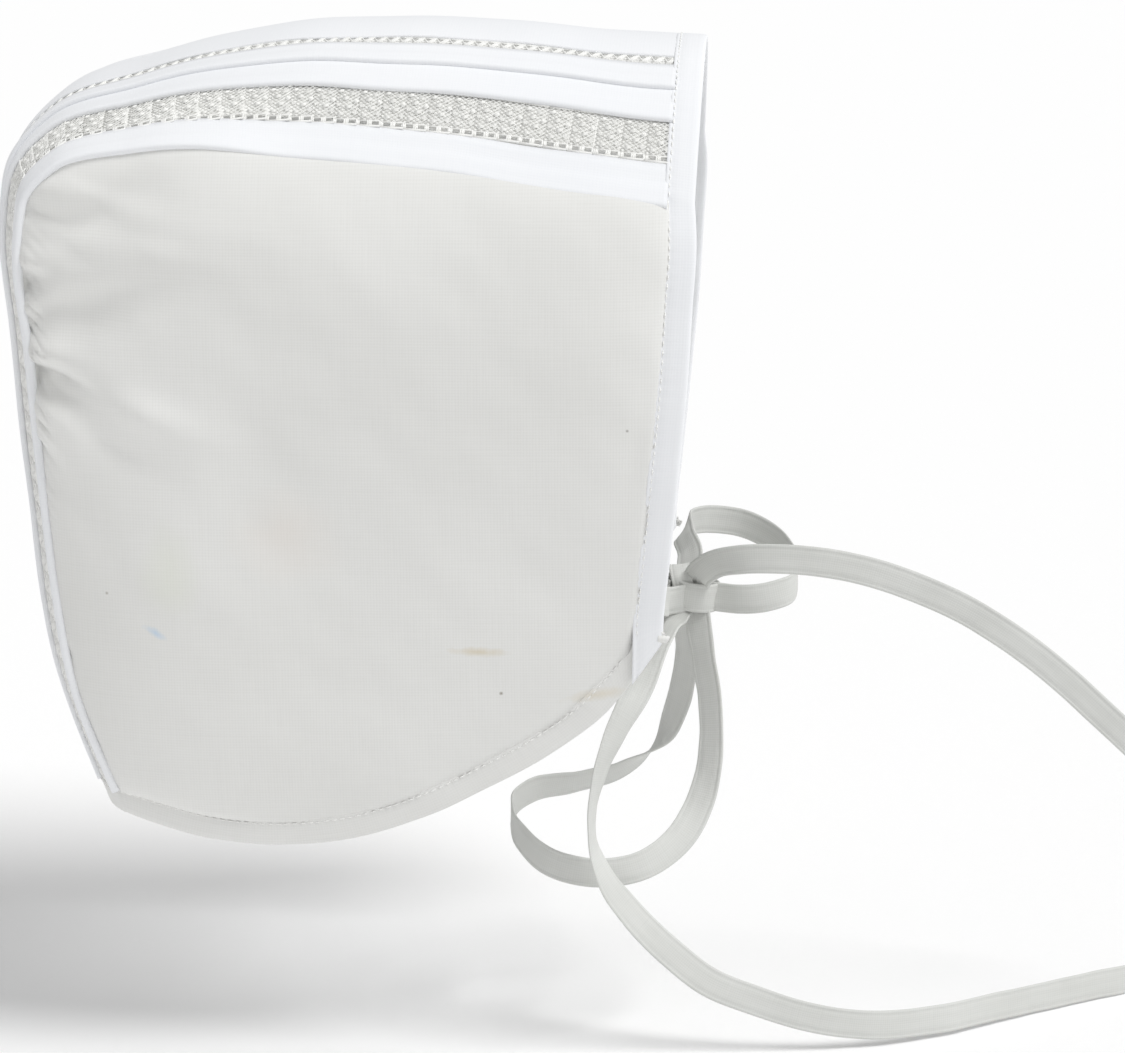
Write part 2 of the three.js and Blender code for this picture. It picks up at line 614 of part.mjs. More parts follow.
place("tie_tail_upper", tape(tapes.tie_tail_upper, 30), tapeCloth);
place("tie_tail_lower", tape(tapes.tie_tail_lower, 52), tapeCloth);

export default bonnet;
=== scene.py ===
import bpy
import math
import numpy as np
from mathutils import Matrix, Vector


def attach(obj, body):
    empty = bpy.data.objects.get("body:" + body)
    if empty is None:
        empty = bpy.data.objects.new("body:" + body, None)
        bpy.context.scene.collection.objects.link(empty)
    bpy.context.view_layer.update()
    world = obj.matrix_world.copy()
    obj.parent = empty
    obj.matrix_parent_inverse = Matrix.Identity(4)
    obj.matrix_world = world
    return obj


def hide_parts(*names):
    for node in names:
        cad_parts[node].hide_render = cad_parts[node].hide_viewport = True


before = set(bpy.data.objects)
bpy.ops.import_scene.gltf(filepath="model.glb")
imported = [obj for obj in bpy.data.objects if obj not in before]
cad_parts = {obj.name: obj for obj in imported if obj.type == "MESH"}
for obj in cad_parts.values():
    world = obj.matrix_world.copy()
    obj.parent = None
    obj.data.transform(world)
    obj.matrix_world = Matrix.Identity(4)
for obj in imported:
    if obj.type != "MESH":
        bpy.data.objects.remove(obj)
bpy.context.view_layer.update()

mm = 0.001
rng = np.random.default_rng(7)


# ---- colours and shader helpers ----

def linearColour(hexText):
    out = []
    for i in (1, 3, 5):
        c = int(hexText[i:i + 2], 16) / 255
        out.append(c / 12.92 if c <= 0.04045 else ((c + 0.055) / 1.055) ** 2.4)
    return (*out, 1.0)


def addNode(tree, kind, **values):
    node = tree.nodes.new(kind)
    for key, value in values.items():
        if hasattr(node, key):
            setattr(node, key, value)
        else:
            node.inputs[key.replace("_", " ")].default_value = value
    return node


def mathNode(tree, operation, a, b=None, clamp=False):
    node = tree.nodes.new("ShaderNodeMath")
    node.operation = operation
    node.use_clamp = clamp
    for i, value in enumerate((a, b)):
        if value is None:
            continue
        if isinstance(value, (int, float)):
            node.inputs[i].default_value = value
        else:
            tree.links.new(value, node.inputs[i])
    return node.outputs[0]


def mixColour(tree, factor, a, b, blend="MIX"):
    node = tree.nodes.new("ShaderNodeMix")
    node.data_type = "RGBA"
    node.blend_type = blend
    for socket, value in ((node.inputs[0], factor), (node.inputs[6], a), (node.inputs[7], b)):
        if isinstance(value, (int, float, tuple)):
            socket.default_value = value
        else:
            tree.links.new(value, socket)
    return node.outputs[2]


def newMaterial(name):
    material = bpy.data.materials.new(name)
    material.use_nodes = True
    tree = material.node_tree
    shader = tree.nodes["Principled BSDF"]
    return material, tree, shader


# Woven cloth: fine crossing threads read from the cut's own UV in millimetres, slubs and a soft tone.
def clothMaterial(name, sizes, spots=()):
    material, tree, shader = newMaterial(name)
    links = tree.links
    uv = addNode(tree, "ShaderNodeUVMap", uv_map="cut")
    where = addNode(tree, "ShaderNodeTexCoord").outputs["Object"]
    split = tree.nodes.new("ShaderNodeSeparateXYZ")
    links.new(uv.outputs[0], split.inputs[0])
    threads = []
    for axis, stretch in ((0, (1, 0.06, 1)), (1, (0.06, 1, 1))):
        turns = mathNode(tree, "MULTIPLY", split.outputs[axis], 2 * math.pi / sizes["threadPitch"])
        scaled = addNode(tree, "ShaderNodeMapping")
        scaled.inputs["Scale"].default_value = stretch
        links.new(uv.outputs[0], scaled.inputs["Vector"])
        slub = addNode(tree, "ShaderNodeTexNoise", Scale=sizes["slubScale"], Detail=3.0)
        links.new(scaled.outputs[0], slub.inputs["Vector"])
        bent = mathNode(tree, "ADD", turns, mathNode(tree, "MULTIPLY", slub.outputs[0], 5.0))
        wave = mathNode(tree, "SINE", bent)
        threads.append(mathNode(tree, "ADD", mathNode(tree, "MULTIPLY", wave, 0.3), slub.outputs[0]))
    weave = mathNode(tree, "MULTIPLY", mathNode(tree, "ADD", threads[0], threads[1]), 0.5)
    soft = addNode(tree, "ShaderNodeTexNoise", Scale=sizes["softScale"], Detail=2.0)
    links.new(where, soft.inputs["Vector"])
    low, high = linearColour(sizes["shade"]), linearColour(sizes["colour"])
    colour = mixColour(tree, mathNode(tree, "MULTIPLY", soft.outputs[0], 1.15, True), low, high)
    tone = mathNode(tree, "MULTIPLY", mathNode(tree, "SUBTRACT", weave, 0.5), sizes["threadTone"])
    shadeFactor = mathNode(tree, "SUBTRACT", 0.06, tone, True)
    colour = mixColour(tree, shadeFactor, colour, linearColour(sizes["shade"]), "MULTIPLY")
    for spot in spots:
        colour = spotOn(tree, where, colour, spot)
    links.new(colour, shader.inputs["Base Color"])
    bump = addNode(tree, "ShaderNodeBump", Strength=sizes["bump"])
    bump.inputs["Distance"].default_value = sizes["threadDepth"]
    links.new(weave, bump.inputs["Height"])
    links.new(bump.outputs[0], shader.inputs["Normal"])
    shader.inputs["Roughness"].default_value = sizes["roughness"]
    shader.inputs["Sheen Weight"].default_value = 0.15
    shader.inputs["Sheen Roughness"].default_value = 0.5
    shader.inputs["Specular IOR Level"].default_value = 0.25
    shader.inputs["Subsurface Weight"].default_value = sizes["glow"]
    shader.inputs["Subsurface Radius"].default_value = (0.002, 0.002, 0.002)
    shader.inputs["Subsurface Scale"].default_value = 0.6
    return material


# A stain: an oval of colour with an uneven edge, placed in the bonnet's own millimetres.
def spotOn(tree, where, colour, spot):
    mapping = addNode(tree, "ShaderNodeMapping", vector_type="TEXTURE")
    mapping.inputs["Location"].default_value = [v * mm for v in spot["at"]]
    mapping.inputs["Rotation"].default_value = (0, math.radians(spot.get("turn", 0)), 0)
    mapping.inputs["Scale"].default_value = [v * mm for v in spot["size"]]
    tree.links.new(where, mapping.inputs["Vector"])
    length = tree.nodes.new("ShaderNodeVectorMath")
    length.operation = "LENGTH"
    tree.links.new(mapping.outputs[0], length.inputs[0])
    rough = addNode(tree, "ShaderNodeTexNoise", Scale=spot.get("grain", 500.0), Detail=3.0)
    tree.links.new(where, rough.inputs["Vector"])
    edge = mathNode(tree, "ADD", length.outputs[1], mathNode(tree, "MULTIPLY", rough.outputs[0], 0.9))
    amount = addNode(tree, "ShaderNodeMapRange")
    for key, value in (("From Min", 1.45), ("From Max", 0.5), ("To Min", 0.0), ("To Max", spot["strength"])):
        amount.inputs[key].default_value = value
    tree.links.new(edge, amount.inputs["Value"])
    return mixColour(tree, amount.outputs[0], colour, linearColour(spot["colour"]))


lawnSizes = {
    "colour": "#F6F7F9", "shade": "#EEF0F3", "threadPitch": 0.00062, "slubScale": 1500.0, "softScale": 22.0,
    "threadTone": 0.32, "bump": 0.16, "threadDepth": 0.00012, "roughness": 0.92, "glow": 0.0,
}
panelSizes = {**lawnSizes, "colour": "#EEEEEC", "shade": "#E3E3E0", "softScale": 16.0}
tapeSizes = {
    "colour": "#DCDDDA", "shade": "#CFD0CC", "threadPitch": 0.0005, "slubScale": 1700.0, "softScale": 60.0,
    "threadTone": 0.34, "bump": 0.2, "threadDepth": 0.00012, "roughness": 0.85, "glow": 0.0,
}
laceSizes = {
    "colour": "#FDFDFB", "shade": "#F6F6F3", "threadPitch": 0.0003, "slubScale": 2600.0, "softScale": 180.0,
    "threadTone": 0.3, "bump": 0.25, "threadDepth": 0.00008, "roughness": 0.95, "glow": 0.0,
}
stains = [
    {"at": (18.5, -50, -122.0), "size": (6.5, 30, 1.2), "turn": 3, "colour": "#D6C9AC", "strength": 0.6},
    {"at": (-48.0, -45, -118.4), "size": (3.0, 30, 1.0), "turn": 28, "colour": "#C4D8EC", "strength": 0.8},
    {"at": (23.0, -48, -131.5), "size": (0.5, 30, 0.5), "colour": "#8C8577", "strength": 0.9},
    {"at": (-58.0, -45, -110.5), "size": (0.45, 30, 0.45), "colour": "#9A9488", "strength": 0.8},
    {"at": (49.0, -52, -74.0), "size": (0.45, 30, 0.45), "colour": "#85807A", "strength": 0.9},
    {"at": (-21.0, -50, -96.5), "size": (13, 40, 11), "colour": "#E9E2DB", "strength": 0.45, "grain": 90.0},
    {"at": (-45.0, -48, -105.0), "size": (7, 40, 12), "colour": "#E2E6D6", "strength": 0.4, "grain": 90.0},
    {"at": (42.5, -47, -132.0), "size": (7, 30, 1.6), "turn": -10, "colour": "#DCD1B9", "strength": 0.5},
]
lawn = clothMaterial("cottonLawnPlainWovenBleached", lawnSizes)
panelLawn = clothMaterial("cottonLawnPlainWovenAged", panelSizes, stains)
tapeCotton = clothMaterial("cottonTapeNarrowWoven", tapeSizes)
laceCotton = clothMaterial("cottonLaceBobbinMade", laceSizes)
print("materials made")


# ---- the bonnet's shape, in millimetres ----

crownSections = [
    {"x": 63.0, "z": -2.3, "half": 53.8, "round": 45, "lean": 56},
    {"x": 43.0, "z": -1.4, "half": 52.6, "round": 48, "lean": 56},
    {"x": 21.5, "z": 0.3, "half": 51.4, "round": 51, "lean": 56},
    {"x": 0.0, "z": 1.0, "half": 50.3, "round": 55, "lean": 55.5},
    {"x": -20.5, "z": 0.0, "half": 49.2, "round": 63, "lean": 51},
    {"x": -37.0, "z": -2.8, "half": 48.3, "round": 78, "lean": 41},
    {"x": -53.0, "z": -7.3, "half": 47.4, "round": 99, "lean": 30.5},
    {"x": -72.0, "z": -14.3, "half": 46.6, "round": 112, "lean": 25},
    {"x": -81.0, "z": -24.0, "half": 46.2, "round": 115, "lean": 24.5},
    {"x": -83.8, "z": -37.5, "half": 45.8, "round": 116, "lean": 24.5},
    {"x": -82.5, "z": -60.5, "half": 45.1, "round": 116, "lean": 25},
    {"x": -79.8, "z": -97.0, "half": 44.4, "round": 116, "lean": 25.5},
    {"x": -75.5, "z": -133.5, "half": 43.9, "round": 115, "lean": 27},
    {"x": -65.5, "z": -163.5, "half": 43.3, "round": 115, "lean": 29},
]
frontEdge = [
    {"x": 62.3, "y": 47.7, "z": -35.5}, {"x": 61.6, "y": 50.5, "z": -50.5},
    {"x": 60.8, "y": 51.7, "z": -65.5}, {"x": 59.4, "y": 51.6, "z": -81.5},
    {"x": 58.2, "y": 50.2, "z": -94.5}, {"x": 57.2, "y": 48.4, "z": -105.0},
    {"x": 56.2, "y": 46.6, "z": -115.0}, {"x": 56.0, "y": 46.0, "z": -120.6},
]
neckEdge = [
    {"x": 51.4, "y": 45.2, "z": -127.0}, {"x": 43.3, "y": 44.2, "z": -137.2},
    {"x": 32.8, "y": 43.4, "z": -145.6}, {"x": 20.0, "y": 43.0, "z": -153.2},
    {"x": 6.0, "y": 43.0, "z": -160.2}, {"x": -9.3, "y": 42.6, "z": -165.2},
    {"x": -25.0, "y": 42.2, "z": -167.0}, {"x": -41.0, "y": 41.9, "z": -165.6},
    {"x": -51.5, "y": 41.8, "z": -162.6},
]
shape = {
    "beadingIn": 0.27, "beadingOut": 0.335, "firstFold": 0.484, "laceIn": 0.651, "laceOut": 0.865,
    "facing": 6.0, "casing": 5.6, "sideBulge": 9.5, "cornerRise": 8.6, "cloth": 0.35,
}


def unitRows(v):
    return v / np.maximum(np.linalg.norm(v, axis=-1, keepdims=True), 1e-12)


# A smooth line through the rows of a table, measured along it from 0 to 1.
class Track:
    def __init__(self, rows, keys):
        self.points = np.array([[row[key] for key in keys] for row in rows], float)
        steps = np.linalg.norm(np.diff(self.points[:, :3], axis=0), axis=1)
        self.places = np.concatenate([[0], np.cumsum(steps)])
        rise = np.diff(self.points, axis=0) / steps[:, None]
        slopes = np.empty_like(self.points)
        slopes[0], slopes[-1] = rise[0], rise[-1]
        share = (steps[:-1] / (steps[:-1] + steps[1:]))[:, None]
        slopes[1:-1] = rise[:-1] * (1 - share) + rise[1:] * share
        self.slopes = slopes

    def at(self, share):
        place = np.clip(np.asarray(share, float), 0, 1) * self.places[-1]
        i = np.clip(np.searchsorted(self.places, place, side="right") - 1, 0, len(self.places) - 2)
        span = (self.places[i + 1] - self.places[i])[..., None]
        u = (place - self.places[i])[..., None] / span
        rise = self.points[i + 1] - self.points[i]
        m0, m1 = self.slopes[i] * span, self.slopes[i + 1] * span
        return self.points[i] + u * (m0 + u * ((3 * rise - 2 * m0 - m1) + u * (m0 + m1 - 2 * rise)))


crown = Track(crownSections, ["x", "z", "half", "round", "lean"])
fine = crown.at(np.linspace(0, 1, 1201))
crownAlong = np.concatenate([[0], np.cumsum(np.linalg.norm(np.diff(fine[:, :2], axis=0), axis=1))])
crownTotal = crownAlong[-1]


# The strip's face: along it in millimetres, across as a share of its half width, lift off the face.
def stripFace(along, across, lift=0.0):
    along, across, lift = np.broadcast_arrays(along, across, lift)
    share = np.interp(along, crownAlong, np.linspace(0, 1, 1201))
    x, z, half, bend, lean = np.moveaxis(crown.at(share), -1, 0)
    ahead, behind = crown.at(np.minimum(share + 0.004, 1)), crown.at(np.maximum(share - 0.004, 0))
    run = unitRows(ahead[..., :2] - behind[..., :2])
    outX, outZ = run[..., 1], -run[..., 0]
    side, width, seam = np.where(across < 0, -1.0, 1.0), np.abs(across) * half, np.radians(lean)
    y, drop, steps = np.zeros_like(x), np.zeros_like(x), 24
    for i in range(steps):
        m = width * (i + 0.5) / steps
        angle = m / bend + (seam - half / bend) * (m / half) ** 3
        y, drop = y + np.cos(angle) * width / steps, drop + np.sin(angle) * width / steps
    end = width / bend + (seam - half / bend) * (width / half) ** 3
    normal = np.stack([outX * np.cos(end), side * np.sin(end), outZ * np.cos(end)], -1)
    return np.stack([x - outX * drop, side * y, z - outZ * drop], -1) + normal * lift[..., None], normal


def stripPoint(along, across, lift=0.0):
    return stripFace(np.array(along), np.array(across), lift)[0]


def asRow(p):
    return {"x": p[0], "y": -p[1], "z": p[2]}


frontLine = Track([asRow(stripPoint(0.0, -1.0)), *frontEdge], "xyz")
neckLine = Track([frontEdge[-1], *neckEdge, asRow(stripPoint(crownTotal, -1.0))], "xyz")


def frontInner(share, inset):
    p = frontLine.at(share)
    return np.stack([p[..., 0] - inset, -p[..., 1], p[..., 2]], -1)


footShare = 0.0
while neckLine.at(footShare)[0] > frontInner(1.0, shape["facing"] + 0.3)[0]:
    footShare += 0.002
foot = neckLine.at(footShare)


def neckInner(share, inset):
    share = np.asarray(share, float)
    p = neckLine.at(share)
    run = neckLine.at(np.minimum(share + 0.01, 1)) - neckLine.at(np.maximum(share - 0.01, 0))
    run = unitRows(run[..., [0, 2]])
    last = stripPoint(crownTotal - inset, -1.0)
    near = (np.maximum(0, (share - 0.86) / 0.14) ** 2)[..., None]
    square = np.maximum(0, 1 - (share - footShare) / 0.07)[..., None]
    y = -p[..., 1] - inset * 0.12
    plainUp = np.stack([p[..., 0] + run[..., 1] * inset, y, p[..., 2] - run[..., 0] * inset], -1)
    rise = inset / shape["casing"] * shape["cornerRise"]
    upright = np.stack([p[..., 0], y, p[..., 2] + rise], -1)
    mixed = plainUp * (1 - square) + upright * square
    return mixed * (1 - near) + last * near


# ---- mesh building ----

def meshFrom(name, points, faces, material, uv=None, smooth=True):
    mesh = bpy.data.meshes.new(name)
    mesh.from_pydata((np.asarray(points) * mm).tolist(), [], faces)
    if uv is not None:
        layer = mesh.uv_layers.new(name="cut")
        loops = np.empty(len(mesh.loops), int)
        mesh.loops.foreach_get("vertex_index", loops)
        layer.data.foreach_set("uv", (np.asarray(uv) * mm)[loops].ravel())
    mesh.materials.append(material)
    if smooth:
        mesh.shade_smooth()
    obj = bpy.data.objects.new(name, mesh)
    bpy.context.collection.objects.link(obj)
    return obj


# A closed sheet of cloth from a grid of outer points, as thick as the cloth.
def clothSheet(name, outer, material, uv, thickness=shape["cloth"], flip=False):
    rows, columns = outer.shape[:2]
    a, b = np.gradient(outer, axis=0), np.gradient(outer, axis=1)
    normal = unitRows(np.cross(a, b))
    if flip:
        normal = -normal
    points = np.concatenate([outer.reshape(-1, 3), (outer - normal * thickness).reshape(-1, 3)])
    back = rows * columns
    ids = np.arange(back).reshape(rows, columns)
    quads = np.stack([ids[:-1, :-1], ids[1:, :-1], ids[1:, 1:], ids[:-1, 1:]], -1).reshape(-1, 4)
    rim = np.concatenate([ids[0, :-1], ids[:-1, -1], ids[-1, :0:-1], ids[:0:-1, 0]])
    after = np.roll(rim, -1)
    edge = np.stack([rim, rim + back, after + back, after], -1)
    outward, inner = quads, quads[:, ::-1] + back
    faces = np.concatenate([outward, inner, edge[:, ::-1]])
    if flip:
        faces = faces[:, ::-1]
    flat = np.asarray(uv).reshape(-1, 2)
    return meshFrom(name, points, faces.tolist(), material, np.concatenate([flat, flat]))


# Smooth random waves over a grid, each a gentle ripple with its own direction.
def ripples(u, v, seed, count, longest, height):
    random = np.random.default_rng(seed)
    total = np.zeros_like(u)
    for _ in range(count):
        turn, wave = random.uniform(0, math.pi), longest * random.uniform(0.35, 1)
        total += np.sin((u * math.cos(turn) + v * math.sin(turn)) * 2 * math.pi / wave + random.uniform(0, 6.3))
    return total * height / math.sqrt(count)


def joinPieces(name, objects):
    with bpy.context.temp_override(active_object=objects[0], selected_editable_objects=objects, selected_objects=objects):
        bpy.ops.object.join()
    objects[0].name = name
    return objects[0]


def declare(obj, nodes):
    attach(obj, "root")
    if nodes:
        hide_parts(*nodes)
    return obj


# ---- camera ----

view = {"turn": 3.23, "tilt": 15.04, "far": 900.0, "aim": (33.0, 0.0, -108.3), "lens": 133.5}
turn, tilt = math.radians(view["turn"]), math.radians(view["tilt"])
backward = Vector((math.sin(turn) * math.cos(tilt), -math.cos(turn) * math.cos(tilt), math.sin(tilt)))
cameraData = bpy.data.cameras.new("camera")
cameraData.sensor_width, cameraData.lens = 36.0, view["lens"]
cameraData.clip_start, cameraData.clip_end = 0.01, 60.0
camera = bpy.data.objects.new("camera", cameraData)
camera.location = Vector(view["aim"]) * mm + backward * view["far"] * mm
camera.rotation_mode = "QUATERNION"
camera.rotation_quaternion = (-backward).to_track_quat("-Z", "Y")
bpy.context.collection.objects.link(camera)
bpy.context.scene.camera = camera


# ---- the tape: straps, loops and tails ----

tapeSize = {"width": 6.4, "thick": 0.5, "hem": 0.85, "hemRise": 0.16}
tapeRuns = {
    "tie_right": [
        (53.6, -43.0, -110.6, 0, 0.2, 1), (54.4, -37.0, -112.6, 0, 0.25, 1), (55.4, -25.0, -117.0, 0, 0.3, 1),
        (56.2, -14.0, -120.8, 0, 0.2, 1), (57.4, -5.6, -122.8, 0.2, 0.1, 1)],
    "tie_left": [
        (53.6, 43.0, -111.0, 0, -0.2, 1), (53.6, 37.0, -113.4, 0, -0.25, 1), (53.8, 25.0, -118.4, 0, -0.3, 1),
        (54.4, 14.0, -122.0, 0, -0.2, 1), (56.0, 6.0, -123.4, 0.2, -0.1, 1)],
    "bow_loop_upper": [
        (60.4, 5.0, -115.0, 0.8, -0.6, 0.1), (59.0, 9.0, -112.6, 0.7, -0.6, 0.5),
        (59.0, 15.0, -112.4, 0.4, -0.3, 0.9), (60.4, 21.5, -112.6, 0.1, -0.1, 1),
        (64.4, 26.2, -113.1, 0.05, 0, 1), (70.7, 28.0, -114.2, 0.05, 0, 1), (77.8, 24.0, -116.5, 0.1, 0.1, 1),
        (82.3, 14.0, -118.4, 0.1, 0.1, 1), (83.6, 4.0, -120.2, 0, 0.1, 1), (81.8, -2.6, -121.2, 0, 0.1, 1),
        (76.9, -4.6, -122.2, 0, 0.1, 1), (71.0, -4.0, -122.8, 0, 0.1, 1), (67.2, -2.2, -123.0, 0, 0.1, 1)],
    "bow_loop_lower": [
        (59.6, 2.6, -128.6, 0.9, -0.5, 0), (59.9, 4.6, -138.0, 0.8, -0.6, 0), (58.2, 7.0, -149.2, 0.8, -0.6, 0.2),
        (53.6, 9.0, -159.7, 0.5, -0.6, 0.5), (45.2, 9.0, -166.3, 0.2, -0.5, 0.8),
        (35.4, 6.0, -168.3, 0.1, -0.4, 0.9), (27.0, 0.0, -168.1, 0, -0.3, 1), (22.7, -9.0, -169.0, 0, -0.1, 1),
        (25.0, -20.0, -172.0, 0, 0.1, 1), (31.8, -27.0, -175.3, 0, 0.1, 1), (40.5, -29.0, -176.9, 0, 0.1, 1),
        (51.1, -27.0, -175.8, -0.1, 0.2, 1), (59.0, -22.0, -171.6, -0.5, 0.3, 0.8),
        (64.0, -16.0, -163.3, -0.8, 0.5, 0.4), (65.7, -12.0, -153.3, -0.8, 0.6, 0.1),
        (65.3, -9.0, -144.1, -0.8, 0.6, 0), (63.7, -5.4, -134.9, -0.8, 0.6, 0), (62.6, -3.0, -128.8, -0.9, 0.5, 0)],
    "tie_tail_upper": [
        (63.0, -4.6, -117.2, -0.7, 0.1, 0.7), (66.3, -8.0, -113.9, -0.6, 0.1, 0.8),
        (71.5, -10.5, -112.2, -0.3, 0.1, 1), (78.9, -11.5, -111.6, 0, 0.1, 1), (85.7, -11.5, -111.9, 0.1, 0.1, 1),
        (97.0, -10.5, -114.0, 0.2, 0.1, 1), (112.3, -9.5, -119.4, 0.35, 0.1, 1),
        (127.2, -8.5, -127.6, 0.5, 0.1, 1), (141.9, -7.5, -139.3, 0.65, 0.1, 1),
        (154.7, -6.5, -151.4, 0.7, 0.1, 1), (163.0, -6.0, -159.4, 0.7, 0.1, 1)],
    "tie_tail_lower": [
        (56.6, -6.6, -127.2, 0.6, 0.6, 0.3), (54.8, -13.0, -129.4, 0.7, 0.5, 0.4),
        (52.6, -20.0, -132.6, 0.8, 0.4, 0.4), (49.6, -26.0, -138.4, 0.8, 0.5, 0.3),
        (45.4, -30.0, -146.4, 0.7, 0.7, 0.2), (42.5, -32.2, -154.2, 0.45, 0.9, 0.2),
        (41.1, -33.6, -162.6, 0.2, 1, 0.2), (41.4, -34.4, -168.4, 0.1, 1, 0.3),
        (44.2, -35.0, -176.0, 0.25, 0.8, 0.5), (49.7, -35.0, -183.8, 0.35, 0.6, 0.7),
        (57.4, -35.0, -191.8, 0.4, 0.5, 0.8), (65.8, -35.0, -198.5, 0.35, 0.4, 0.9),
        (77.1, -34.6, -203.4, 0.2, 0.2, 1), (89.9, -33.0, -207.5, 0.1, 0.1, 1),
        (102.8, -30.0, -209.8, 0, 0.1, 1), (115.8, -24.0, -210.4, 0, 0.1, 1), (131.8, -13.0, -210.8, 0, 0.1, 1),
        (144.9, -4.0, -211.0, 0, 0.1, 1), (157.6, 4.0, -211.2, 0, 0.1, 1), (164.0, 8.5, -211.2, 0, 0.1, 1)],
}


def tapeFrame(run, share):
    at = run.at(share)
    ahead, behind = run.at(np.minimum(share + 0.006, 1)), run.at(np.maximum(share - 0.006, 0))
    along = unitRows(ahead[..., :3] - behind[..., :3])
    wide = at[..., 3:]
    across = unitRows(wide - along * np.sum(wide * along, -1, keepdims=True))
    return at[..., :3], along, across, np.cross(along, across)


# A length of woven tape laid along a run, with two sewn hems and a slightly hollow middle.
def sweepTape(name, rows, seed, width=tapeSize["width"]):
    run = Track([dict(zip("abcdef", row)) for row in rows], "abcdef")
    length = run.places[-1]
    share = np.linspace(0, 1, max(int(length * 1.6), 24) + 1)
    centre, along, across, out = tapeFrame(run, share)
    half = width / 2
    profile = [(-1, 0.0), (-0.985, 0.1), (-0.93, 0.26), (-0.8, 0.27), (-0.735, 0.15), (-0.67, 0.24), (-0.3, 0.2),
               (0.0, 0.18), (0.3, 0.2), (0.67, 0.24), (0.735, 0.16), (0.8, 0.26), (0.93, 0.25), (0.985, 0.1), (1, 0.0)]
    wobble = ripples(share * length, share * 0, seed, 5, 30, 0.12)
    top, bottom = [], []
    for place, height in profile:
        waver = ripples(share * length, share * 0 + place * 4, seed + 3, 6, 16, 0.1) * abs(place)
        base = centre + across * (place * half + wobble[:, None] * 0.5) + out * waver[:, None]
        top.append(base + out * height)
        bottom.append(base - out * height)
    ring = np.stack(top + bottom[-2:0:-1], 1)
    count = ring.shape[1]
    ids = np.arange(ring.shape[0] * count).reshape(ring.shape[0], count)
    after = np.roll(ids, -1, axis=1)
    faces = np.stack([ids[:-1], after[:-1], after[1:], ids[1:]], -1).reshape(-1, 4).tolist()
    faces += [ids[0, ::-1].tolist(), ids[-1].tolist()]
    places = np.array([q[0] for q in profile] + [q[0] for q in profile[-2:0:-1]]) * half
    uv = np.stack(np.broadcast_arrays(share[:, None] * length, places[None]), -1).reshape(-1, 2)
    return meshFrom(name, ring.reshape(-1, 3), faces, tapeCotton, uv), centre


# The run-ins carry each tape on into the knot, where its end is held.
runIns = {
    "tie_right": ([], [(60.0, -3.6, -122.9, 0.1, 0, 1)]),
    "tie_left": ([], [(58.6, 2.2, -122.8, 0.1, 0, 1)]),
    "bow_loop_upper": ([(60.4, 1.4, -119.4, 0.9, -0.4, 0.1)], [(63.4, -0.9, -122.9, 0, 0.1, 1)]),
    "bow_loop_lower": ([(60.0, 1.2, -123.6, 0.9, -0.4, 0)], [(61.8, -1.0, -124.2, -0.9, 0.4, 0)]),
    "tie_tail_upper": ([(61.4, -1.8, -120.6, -0.7, 0.1, 0.6)], []),
    "tie_tail_lower": ([(58.6, -2.4, -124.6, 0.6, 0.5, 0.2)], []),
}


def makeTape(name, rows, seed):
    before, after = runIns[name]
    obj, centre = sweepTape(name + "_cloth", before + rows + after, seed)
    declare(obj, [name])
    path = centre * mm
    real = float(np.linalg.norm(np.diff(path, axis=0), axis=1).sum())
    return real * 1000


tapeLengths = {name: makeTape(name, rows, 11 + i) for i, (name, rows) in enumerate(tapeRuns.items())}
print("tape made", {name: round(length, 1) for name, length in tapeLengths.items()})

# The knot: tape wound round the crossing, with a second turn brought up and over behind it.
knotWrap = {"x": 61.0, "y": -0.2, "z": -122.6, "long": 5.3, "deep": 4.2, "slope": -0.12, "creep": 0.5}
knotHump = [
    (61.4, 3.4, -124.6, 1, 0.1, 0), (59.4, 3.6, -120.0, 1, 0.1, 0.1), (58.4, 2.0, -117.2, 1, 0.1, 0.1),
    (58.4, -0.4, -116.6, 1, 0.1, 0.1), (58.8, -2.8, -118.0, 1, 0.1, 0.1), (59.6, -3.7, -121.6, 1, 0.1, 0.1),
]
wrapRows = []
for k in range(23):
    a = 2 * math.pi * k / 18 + 2.4
    size = 0.9 + 0.012 * k
    x = knotWrap["long"] * size * math.cos(a)
    wrapRows.append((knotWrap["x"] + x, knotWrap["y"] + knotWrap["deep"] * size * math.sin(a),
                     knotWrap["z"] + knotWrap["slope"] * x - knotWrap["creep"] * (k / 22 - 0.5), 0.12, 0, 1))
knotCore = [(60.8, 0.0, -127.0, 1, 0, 0), (60.9, 0.2, -123.0, 1, 0.1, 0), (60.2, 0.2, -118.6, 1, 0.2, 0)]
knotPieces = [sweepTape("knot_wrap", wrapRows, 51)[0], sweepTape("knot_hump", knotHump, 53, 4.6)[0],
              sweepTape("knot_core", knotCore, 55, 5.6)[0]]
knot = joinPieces("bow_knot_cloth", knotPieces)
declare(knot, ["bow_knot"])
print("knot made")


# ---- repeated threads: one small motif set on many places by geometry nodes ----

def threadBars(bars, sides=5):
    points, faces = [], []
    for a, b, radius in bars:
        a, b = np.array(a, float), np.array(b, float)
        along = (b - a) / np.linalg.norm(b - a)
        side = np.cross(along, (0, 0, 1.0))
        side = side / np.linalg.norm(side) if np.linalg.norm(side) > 1e-6 else np.array((1.0, 0, 0))
        up = np.cross(side, along)
        start = len(points)
        for end in (a, b):
            for k in range(sides):
                t = 2 * math.pi * k / sides
                points.append(end + side * math.cos(t) * radius + up * math.sin(t) * radius)
        for k in range(sides):
            n = (k + 1) % sides
            faces.append((start + k, start + n, start + sides + n, start + sides + k))
        faces.append(tuple(start + k for k in range(sides))[::-1])
        faces.append(tuple(start + sides + k for k in range(sides)))
    return points, faces


